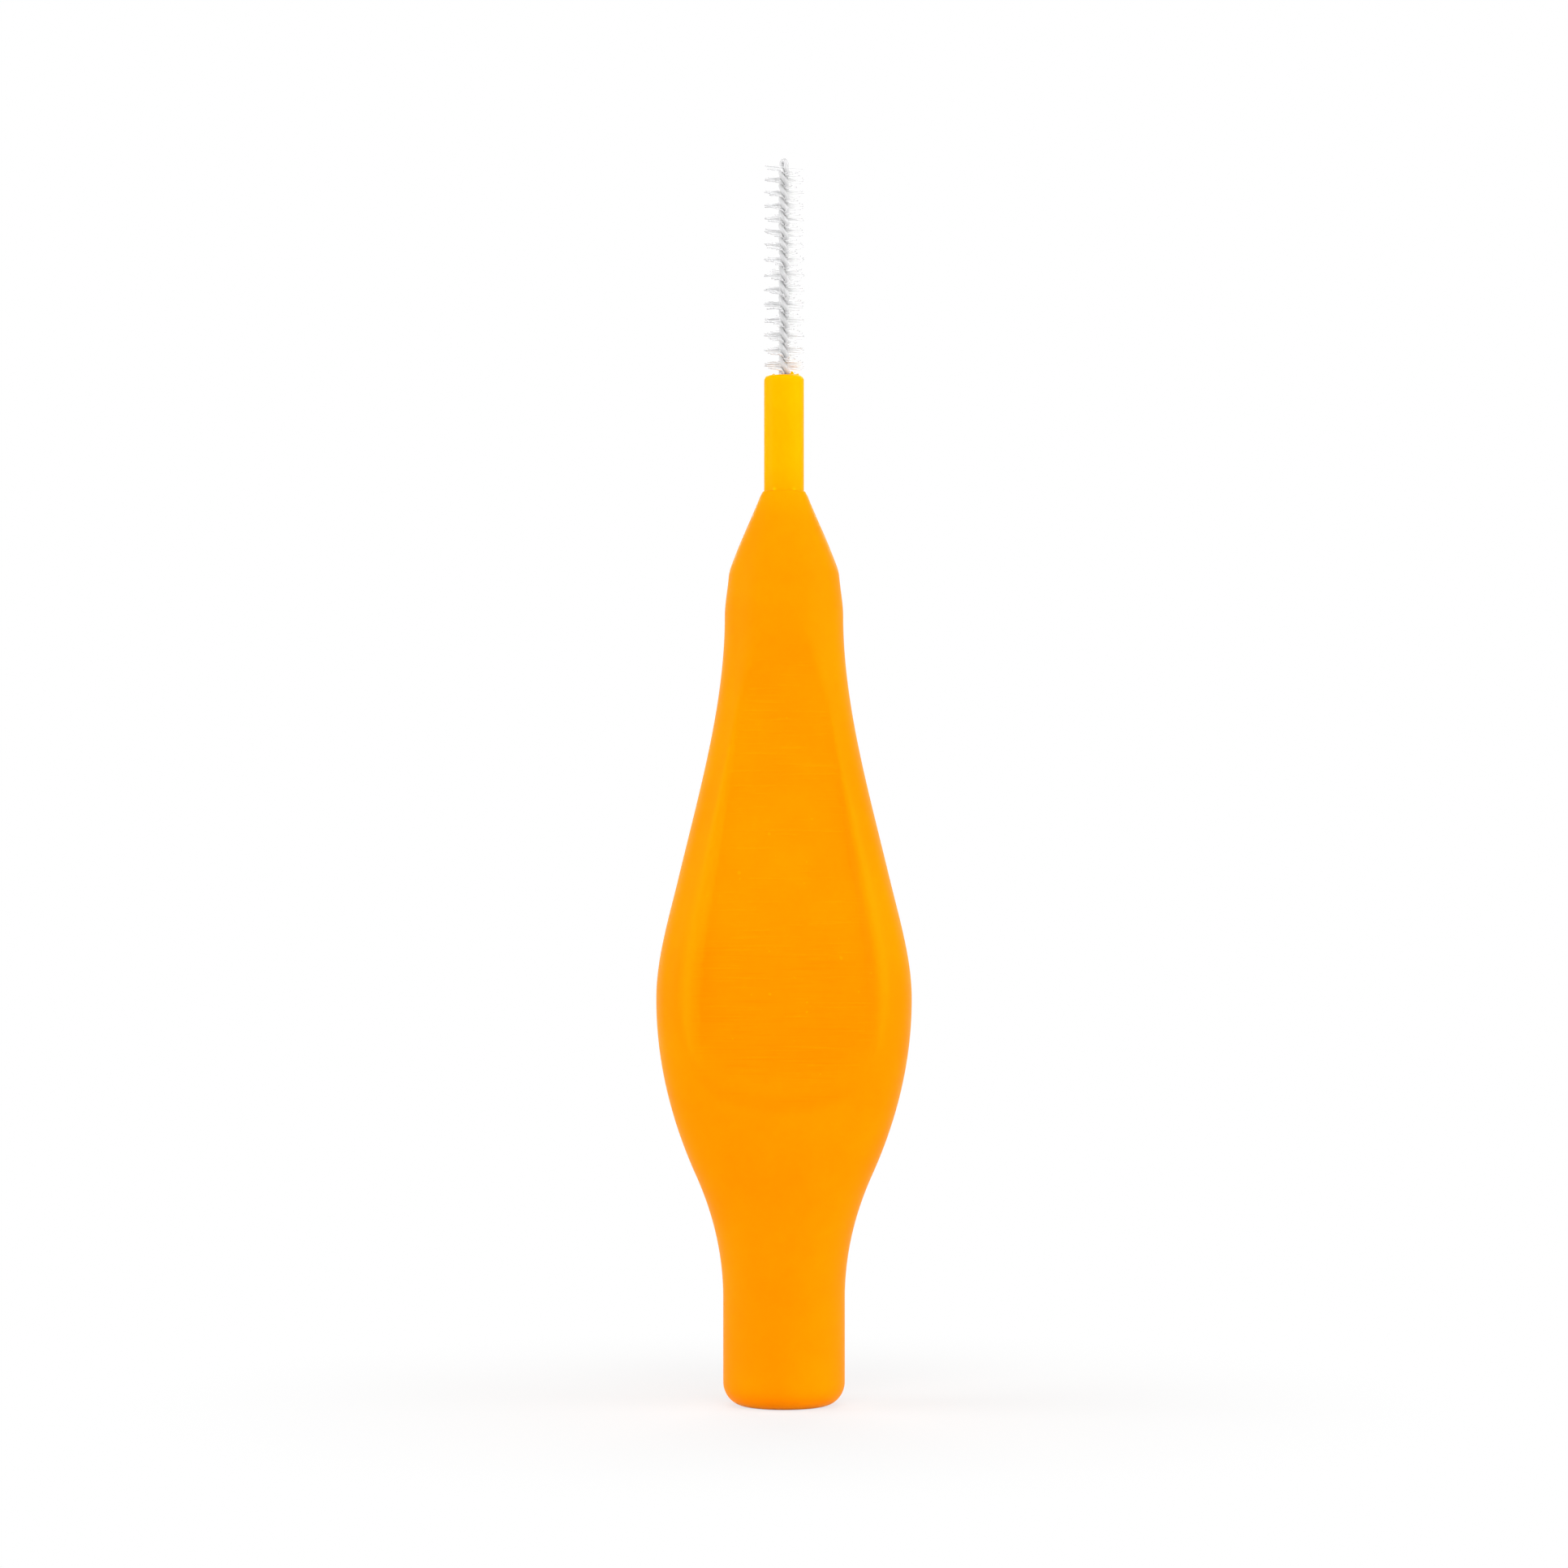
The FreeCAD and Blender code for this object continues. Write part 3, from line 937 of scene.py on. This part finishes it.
@dataclass
class Neck:
    """The neck sleeve: a slim tube with a rounded mouth and a collar of compound that creeps up the wire.

    A crumb is a distance from the axis, a turn about it, a width and a height. The flash is a small spot at
    each of its turns, just above the nose.
    """

    finish: MouldedPlastic
    mouth_round: float = 0.27
    collar_radius: float = 0.5
    collar_height: float = 0.05
    crumbs: tuple[Crumb, ...] = (
        (0.48, -0.3, 0.11, 0.25),
        (0.8, -0.3, 0.09, 0.14),
        (0.62, 3.5, 0.1, 0.1),
    )
    flash_turns: tuple[float, ...] = (-2.06, -1.08)
    flash_rise: float = 0.054
    flash_size: float = 0.09
    flash_height: float = 0.07
    bore_radius: float = 0.3225
    wire_room: float = 1.0
    columns: int = 96
    root_row: float = 0.05
    side_rows: int = 84
    flash_focus: Pair = (0.3, 12.0)
    mouth_rows: int = 12
    land_rows: int = 3
    collar_rows: int = 8
    bore_rows: Pair = (0.1, 2.0)

    def __post_init__(self) -> None:
        """Takes the overall sizes from the frame."""
        low, high = box_mm(Reference.NECK.value)
        _, grip_top = box_mm(Reference.GRIP.value)
        self.radius = float(high[0])
        self.root = float(low[2])
        self.mouth = float(high[2])
        self.nose_height = float(grip_top[2])

    def profile(self) -> np.ndarray:
        """Draws the sleeve: its side, the rounded mouth, the land round the wire and the bore.

        Returns:
            Radius and height of each row, shaped (rows, 2).
        """
        corner = np.array([self.radius, self.mouth])
        on_side = corner - np.array([0.0, self.mouth_round])
        on_top = corner - np.array([self.mouth_round, 0.0])
        flash = (self.nose_height, *self.flash_focus)
        side = spread(self.root + self.root_row, on_side[1], self.side_rows, (flash,))[:-1]
        heights = np.concatenate([[self.root], side])
        land = np.linspace(on_top[0], self.collar_radius, self.land_rows + 1)[1:]
        collar = np.linspace(self.collar_radius, self.bore_radius, self.collar_rows + 1)[1:]
        flat = np.concatenate([land, collar])
        from_mouth = self.mouth - np.array(self.bore_rows)
        bore = np.concatenate([from_mouth, self.root + self.wire_room * np.array([2.0, 1.0])])
        return np.concatenate([
            np.stack([np.full_like(heights, self.radius), heights], axis=1),
            rounded(on_side, corner, on_top, self.mouth_rows),
            np.stack([flat, np.full_like(flat, self.mouth)], axis=1),
            np.stack([np.full_like(bore, self.bore_radius), bore], axis=1),
        ])

    def mouth_lift(self, profile: np.ndarray, rings: np.ndarray) -> np.ndarray:
        """Works out how far the compound stands up on the mouth.

        The collar climbs to the wire by a smooth step, and a crumb is a bell curve of the distance from its
        middle.

        Args:
            profile: Radius and height of each row.
            rings: Ring points of the plain sleeve.

        Returns:
            The lift of each point, shaped (rows, columns).
        """
        climb = smooth((self.collar_radius - profile[:, 0]) / (self.collar_radius - self.bore_radius))
        lift = np.repeat(self.collar_height * climb[:, None], self.columns, axis=1)
        for place, turn, width, height in self.crumbs:
            middle = place * np.array([math.cos(turn), math.sin(turn)])
            far = np.linalg.norm(rings[..., :2] - middle, axis=-1)
            lift += height * np.exp(-((far / width) ** 2))
        return lift * (profile[:, 1:] > self.mouth - SAME_LEVEL)

    def flash_at(self, profile: np.ndarray, angle: np.ndarray) -> np.ndarray:
        """Works out the flash on the side: for each spot a bell curve of the distance from its middle.

        Args:
            profile: Radius and height of each row.
            angle: Angle of each column.

        Returns:
            Its thickness as a share of the full one, shaped (rows, columns).
        """
        rise = profile[:, 1:] - self.nose_height - self.flash_rise
        flash = np.zeros((len(profile), len(angle)))
        for turn in self.flash_turns:
            far = np.angle(np.exp(1j * (angle - turn))) * self.radius
            flash += np.exp(-(far**2 + rise**2) / self.flash_size**2)
        return flash * (profile[:, :1] > self.radius - self.mouth_round)

    def build(self) -> bpy.types.Object:
        """Makes the neck: a turned profile with compound standing up on its mouth and flash on its side.

        Returns:
            The piece, dressed and riding on the handle.
        """
        profile = self.profile()
        angle = even_angles(self.columns)
        rings = turned(profile, angle)
        rings[..., 2] += self.mouth_lift(profile, rings)
        flash = self.flash_at(profile, angle)
        rings[..., :2] *= 1 + (self.flash_height / self.radius * flash)[..., None]
        poles = np.array([[self.root * UPRIGHT, (self.root + self.wire_room) * UPRIGHT]])
        bare = np.zeros_like(flash)[None]
        values = {"scoop": bare, "rim_highlight_and_flash": flash[None], "floor_shade_and_furrows": bare}
        piece = Tubes(rings[None], poles, values).piece("neck_moulding")
        dress(piece, self.finish.material(), Reference.NECK.value)
        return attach(piece, Body.HANDLE.value)


@dataclass
class Twist:
    """The lay of the two strands: a left-handed double helix below a hairpin loop.

    Turns are counted downwards in half turns from the top of the twist. The pitch is shorter near the tip.
    At last_turn the strands leave the helix, and they come to rest at loop_turn, where the loop begins.
    """

    strand_diameter: float = 0.27
    strand_offset: float = 0.1675
    loop_leg: float = 0.14
    last_turn: float = 0.4
    loop_turn: float = 0.25
    tip_half_turn: float = 0.742
    tip_half_turns: float = 6.5
    root_half_turn: float = 0.85
    tail_clearance: float = 0.05

    def __post_init__(self) -> None:
        """Takes the heights of the twist from the frame."""
        low, high = box_mm(Reference.WIRE.value)
        self.tail_height = float(low[2]) + self.tail_clearance
        self.loop_height = float(high[2]) - self.strand_offset - self.strand_diameter / 2
        self.top = self.loop_height - self.loop_leg
        self.stop = self.top - self.last_turn * self.tip_half_turn
        self.pitch_change = self.top - self.tip_half_turns * self.tip_half_turn

    def turn_at(self, heights: np.ndarray) -> np.ndarray:
        """Works out the turn that the twist has come to: even runs, and a cubic easing into the loop.

        Args:
            heights: Heights.

        Returns:
            The turn at each height.
        """
        tip_run = (self.top - heights) / self.tip_half_turn
        root_run = self.tip_half_turns + (self.pitch_change - heights) / self.root_half_turn
        leg_height = self.loop_height - self.stop
        t = np.clip((heights - self.stop) / leg_height, 0.0, 1.0)
        ease = leg_height / self.tip_half_turn * t * (1 - t) ** 2
        leg = self.last_turn + (self.loop_turn - self.last_turn) * smooth(t) - ease
        return np.where(heights > self.stop, leg, np.where(heights > self.pitch_change, tip_run, root_run))

    def height_at(self, turns: np.ndarray) -> np.ndarray:
        """Works out the height where the twist has come to a turn, without the easing into the loop.

        Args:
            turns: Turns.

        Returns:
            The height of each turn.
        """
        tip_run = self.top - turns * self.tip_half_turn
        root_run = self.pitch_change - (turns - self.tip_half_turns) * self.root_half_turn
        return np.where(turns < self.tip_half_turns, tip_run, root_run)

    @staticmethod
    def across(turns: np.ndarray) -> np.ndarray:
        """Gives unit vectors from the axis to the first strand at each turn, shaped (turns, 3)."""
        angle = np.pi * turns
        return np.stack([-np.sin(angle), np.cos(angle), 0 * angle], axis=-1)


@dataclass
class CoreWire:
    """The core: one wire from its tail up a strand, over the hairpin loop and down the other strand."""

    finish: DrawnSteel
    twist: Twist
    steps_per_strand: int = 620
    leg_steps: int = 12
    loop_steps: int = 21
    columns: int = 16

    def path(self) -> tuple[np.ndarray, np.ndarray]:
        """Works out the wire's line: a helix of changing pitch, a half circle and the helix half a turn on.

        Returns:
            Points of the line and, at each, a direction square to the line between the strands, both shaped
            (points, 3).
        """
        twist = self.twist
        below = np.linspace(twist.tail_height, twist.top, self.steps_per_strand)
        legs = np.linspace(twist.top, twist.loop_height, self.leg_steps)[1:]
        heights = np.concatenate([below, legs])
        turns = twist.turn_at(heights)
        offset = twist.across(turns) * twist.strand_offset
        first = heights[:, None] * UPRIGHT + offset
        second = heights[:, None] * UPRIGHT - offset
        bow = np.linspace(0.0, np.pi, self.loop_steps)[1:-1, None]
        loop = np.cos(bow) * offset[-1] + (twist.loop_height + twist.strand_offset * np.sin(bow)) * UPRIGHT
        sideways = twist.across(turns + 0.5)
        loop_side = np.repeat(sideways[-1:], len(loop), axis=0)
        line = np.concatenate([first, loop, second[::-1]])
        return line, np.concatenate([sideways, loop_side, sideways[::-1]])

    def build(self) -> bpy.types.Object:
        """Makes the wire: a circle carried along its line, square to it.

        Returns:
            The piece, dressed.
        """
        line, sideways = self.path()
        ahead = np.gradient(line, axis=0)
        ahead /= np.linalg.norm(ahead, axis=1, keepdims=True)
        normal = sideways - (sideways * ahead).sum(axis=1, keepdims=True) * ahead
        normal /= np.linalg.norm(normal, axis=1, keepdims=True)
        other = np.cross(ahead, normal)
        angle = even_angles(self.columns)[:, None]
        radius = self.twist.strand_diameter / 2
        rings = line[:, None] + radius * (np.cos(angle) * normal[:, None] + np.sin(angle) * other[:, None])
        run = np.concatenate([[0.0], np.cumsum(np.linalg.norm(np.diff(line, axis=0), axis=1))])
        values = {
            "around": np.broadcast_to(np.cos(angle[:, 0]), rings.shape[:2])[None],
            "along": np.broadcast_to(run[:, None], rings.shape[:2])[None],
        }
        piece = Tubes(rings[None], line[None, [0, -1]], values).piece("twisted_wire")
        dress(piece, self.finish.material(), Reference.WIRE.value)
        return piece


@dataclass
class Bristles:
    """The bristle tufts: filaments through the twist, one tuft for each half turn.

    Sizes named stray say how much is left to chance: in turns for the place, in shares of the reach for
    lean, bend and length, and as a share of the whole shade, the rest of which is painted shade to the left.
    """

    finish: NylonFilament
    twist: Twist
    diameter: float = 0.064
    tip_filaments: int = 11
    root_filaments: int = 14
    stray_turn: float = 0.012
    stray_lean: float = 0.035
    stray_bend: float = 0.035
    stray_length: float = 0.025
    stray_shade: float = 0.25
    stops: tuple[float, ...] = (0.12, 0.62, 0.985, 1.0)
    cut_girth: float = 0.55
    columns: int = 6
    seed: int = 7

    def tuft(self, number: int, node: str, chance: np.random.Generator) -> Tubes:
        """Works out one tuft.

        A filament runs straight through the axis, square to the line between the strands. Each of its halves
        leans by a random angle and bends with the square of the reach. Its tone grows greyer to the left by
        a smooth step, as painted shade, and differs a little from one filament to the next.

        Args:
            number: Half turns from the top of the twist to the tuft's middle.
            node: Frame node of the tuft, whose box limits its height and its reach.
            chance: Source of random numbers.

        Returns:
            The filaments.
        """
        low, high = box_mm(node)
        reach = float(max(high[0], high[1]))
        count = self.tip_filaments if number <= self.twist.tip_half_turns else self.root_filaments
        turns = number + (np.arange(count) + 0.5) / count - 0.5 + chance.normal(0.0, self.stray_turn, count)
        heights = self.twist.height_at(turns)
        kept = (heights < high[2]) & (heights > low[2])
        turns, heights = turns[kept], heights[kept]
        count = len(turns)
        lean = chance.normal(0.0, self.stray_lean, (count, 2, 2))
        bend = chance.normal(0.0, self.stray_bend, (count, 2, 2))
        length = reach * (1 - np.abs(chance.normal(0.0, self.stray_length, (count, 2))))

        outer = np.array(self.stops)
        stops = np.concatenate([-outer[::-1], outer])
        half = (stops > 0).astype(int)
        far = np.abs(stops)
        girth = np.where(far < 1, 1.0, self.cut_girth)
        forward = self.twist.across(turns + 0.5)
        aside = self.twist.across(turns)
        out = stops * length[:, half]
        drift = far * lean[:, half, 0] + far**2 * bend[:, half, 0]
        lift = far * lean[:, half, 1] + far**2 * bend[:, half, 1]
        line = out[..., None] * forward[:, None] + (reach * drift)[..., None] * aside[:, None]
        line = line + (heights[:, None] + reach * lift)[..., None] * UPRIGHT

        angle = even_angles(self.columns)[:, None]
        ring = np.cos(angle) * UPRIGHT - np.sin(angle) * aside[:, None]
        rings = line[:, :, None] + (girth * self.diameter / 2)[:, None, None] * ring[:, None]
        odd = chance.random(count)[:, None]
        # Painted shade: the filaments grow greyer to the left.
        painted_left_shade = smooth(0.5 - line[..., 0] / reach)
        shade = self.stray_shade * odd + (1 - self.stray_shade) * painted_left_shade
        values = {
            "reach": np.broadcast_to(far[:, None], rings.shape[:3]),
            "shade": np.broadcast_to(shade[..., None], rings.shape[:3]),
        }
        return Tubes(rings, line[:, [0, -1]], values)

    def build(self) -> list[bpy.types.Object]:
        """Makes all tufts.

        Returns:
            The pieces, from the tip down, dressed.
        """
        chance = np.random.default_rng(self.seed)
        material = self.finish.material()
        nodes = sorted(name for name in frame["nodes"] if name.startswith(Reference.TUFT.value))
        pieces = []
        for number, node in enumerate(nodes):
            piece = self.tuft(number, node, chance).piece(f"bristles_{number + 1:02d}")
            dress(piece, material, node)
            pieces.append(piece)
        return pieces


@dataclass
class BrushHead:
    """The wire and its bristles, at the tool's bend just above the neck."""

    wire: CoreWire
    bristles: Bristles

    def build(self) -> None:
        """Makes the head: what reaches into the bend stays where it is, and the rest rides on the bent part.
        """
        _, neck_top = box_mm(Reference.NECK.value)
        pivot = frame["joints"][0]["pos_m"][2] / MM
        start = float(neck_top[2])
        end = 2 * pivot - start
        self.hold(self.wire.build(), start, end)
        for piece in self.bristles.build():
            self.hold(piece, start, end)

    @staticmethod
    def hold(piece: bpy.types.Object, start: float, end: float) -> None:
        """Fixes a piece to the head's body, or leaves it where it is when it reaches into the bend.

        Args:
            piece: The piece.
            start: Height where the bend begins; not used.
            end: Height where it ends.
        """
        heights = np.zeros(len(piece.data.vertices) * 3)
        piece.data.vertices.foreach_get("co", heights)
        if heights[2::3].min() > end * MM:
            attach(piece, Body.HEAD.value)
            return
        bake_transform(piece)


@dataclass(frozen=True)
class Lamp:
    """A soft box that looks at the middle of the tool.

    Attributes:
        name: Name of the lamp.
        place: Where it stands.
        size: Width and height of its face.
        watts: Its power.
    """

    name: str
    place: Triple
    size: Pair
    watts: float

    def build(self, target: Vector) -> None:
        """Sets the lamp up.

        Args:
            target: Point that it looks at, in metres.
        """
        data = bpy.data.lights.new(self.name, "AREA")
        data.shape = "RECTANGLE"
        data.size, data.size_y = (side * MM for side in self.size)
        data.energy = self.watts
        lamp = bpy.data.objects.new(self.name, data)
        lamp.location = Vector(self.place) * MM
        lamp.rotation_euler = (target - lamp.location).to_track_quat("-Z", "Y").to_euler()
        bpy.context.scene.collection.objects.link(lamp)


@dataclass
class Studio:
    """White studio: a paper floor, a white surround, soft boxes and the camera in front of the tool.

    Attributes:
        paper: Finish of the floor.
        lamps: The soft boxes.
        surround: Strength of the light that the tool gets from all round.
        camera_distance: From the camera to the tool's axis.
        field_width: Width of the picture at the tool's axis.
        eye_height: Height of the camera.
        floor_size: Side of the square floor.
        sensor: Width of the camera's sensor.
        clip: Nearest and farthest distance that the camera sees.
    """

    paper: StudioPaper
    lamps: tuple[Lamp, ...]
    surround: float = 0.12
    camera_distance: float = 280.0
    field_width: float = 88.04
    eye_height: float = 34.87
    floor_size: float = 3000.0
    sensor: float = 36.0
    clip: Pair = (10.0, 20000.0)

    def build(self) -> None:
        """Sets up the surround, the lamps, the floor, the camera and the plain view."""
        target = Vector((0.0, 0.0, self.eye_height * MM))
        self.light_surround()
        for lamp in self.lamps:
            lamp.build(target)
        self.lay_floor()
        self.set_camera()
        bpy.context.scene.view_settings.view_transform = "Standard"

    def set_camera(self) -> None:
        """Stands the camera in front of the tool, level, with the lens that gives the field's width."""
        data = bpy.data.cameras.new("camera")
        data.sensor_width = self.sensor
        data.lens = self.sensor * self.camera_distance / self.field_width
        data.clip_start, data.clip_end = (distance * MM for distance in self.clip)
        camera = bpy.data.objects.new("camera", data)
        camera.location = Vector((0.0, -self.camera_distance * MM, self.eye_height * MM))
        camera.rotation_euler = (math.pi / 2, 0.0, 0.0)
        bpy.context.scene.collection.objects.link(camera)
        bpy.context.scene.camera = camera

    def light_surround(self) -> None:
        """Lights the tool evenly from all round; to the camera and in mirrors the surround is white."""
        world = bpy.data.worlds.new("white_surround")
        bench = Bench(world)
        strength = bench.seen_directly() * (1 - self.surround) + self.surround
        sky = bench.add("ShaderNodeBackground", {}, {"Color": (1.0, 1.0, 1.0, 1.0), "Strength": strength})
        bench.add("ShaderNodeOutputWorld", {}, {"Surface": sky})
        bpy.context.scene.world = world

    def lay_floor(self) -> None:
        """Lays the paper under the butt."""
        half = self.floor_size / 2 * MM
        mesh = bpy.data.meshes.new("paper_floor")
        corners = [(-half, -half, 0.0), (half, -half, 0.0), (half, half, 0.0), (-half, half, 0.0)]
        mesh.from_pydata(corners, [], [(0, 1, 2, 3)])
        mesh.materials.append(self.paper.material())
        floor = bpy.data.objects.new("paper_floor", mesh)
        bpy.context.scene.collection.objects.link(floor)


GRIP_PLASTIC = MouldedPlastic(
    "grip_plastic",
    deep=(1.0, 0.262, 0.0),
    pale=(1.0, 0.288, 0.0),
    # The paler colour is also the painted highlight on the scoop's rim.
    edge=(1.0, 0.325, 0.001),
    # The darkest colour is the painted shade on the scoop's floor.
    floor_shade_and_furrows=(1.0, 0.21, 0.0),
    # Painted light on the nose, as if lit from above.
    joint_light_and_shade=(1.0, 0.32, 0.0),
    joint_light_and_shade_ends=(49.4, 51.6),
    roughness=0.42,
    glow=0.2,
    sheen=(1.0, 0.5, 0.0),
)
NECK_PLASTIC = MouldedPlastic(
    "neck_plastic",
    deep=(1.0, 0.395, 0.0),
    pale=(1.0, 0.43, 0.0),
    edge=(1.0, 0.5, 0.002),
    floor_shade_and_furrows=(1.0, 0.33, 0.0),
    # Painted shade at the foot of the neck, where it meets the nose.
    joint_light_and_shade=(1.0, 0.35, 0.0),
    joint_light_and_shade_ends=(53.4, 50.9),
    roughness=0.34,
    glow=0.3,
    sheen=(1.0, 0.65, 0.0),
)
WIRE_STEEL = DrawnSteel(
    "wire_steel",
    bright=(0.6, 0.6, 0.605),
    dull=(0.55, 0.55, 0.555),
    metallic=0.3,
    roughness=0.7,
)
BRISTLE_NYLON = NylonFilament(
    "bristle_nylon",
    milky=(0.97, 0.97, 0.97),
    # The clear colour is also the painted shade on the filaments to the left.
    clear=(0.62, 0.62, 0.63),
    root=(0.95, 0.95, 0.95),
    # Painted shade at the cut tips.
    tip=(0.55, 0.55, 0.56),
    roughness=0.38,
)
WHITE_PAPER = StudioPaper("white_paper", colour=(0.75, 0.75, 0.75), near_glow=0.7, fade=(6.0, 40.0))
SOFT_BOXES = (
    Lamp("key_right", (420.0, -150.0, 190.0), (320.0, 420.0), 1.32),
    Lamp("key_front", (300.0, -400.0, 200.0), (300.0, 400.0), 0.76),
    Lamp("fill_left", (-420.0, -60.0, 120.0), (300.0, 400.0), 1.76),
    Lamp("top_front", (0.0, -330.0, 380.0), (300.0, 300.0), 1.29),
    Lamp("back_soft", (0.0, 480.0, 260.0), (380.0, 300.0), 1.5),
)


def main() -> None:
    """Builds the tool and the studio round it."""
    logging.basicConfig(level=logging.INFO, format="%(name)s: %(message)s")
    twist = Twist()
    Grip(GRIP_PLASTIC).build()
    Neck(NECK_PLASTIC).build()
    BrushHead(CoreWire(WIRE_STEEL, twist), Bristles(BRISTLE_NYLON, twist)).build()
    Studio(WHITE_PAPER, SOFT_BOXES).build()


if __name__ == "__main__":
    main()
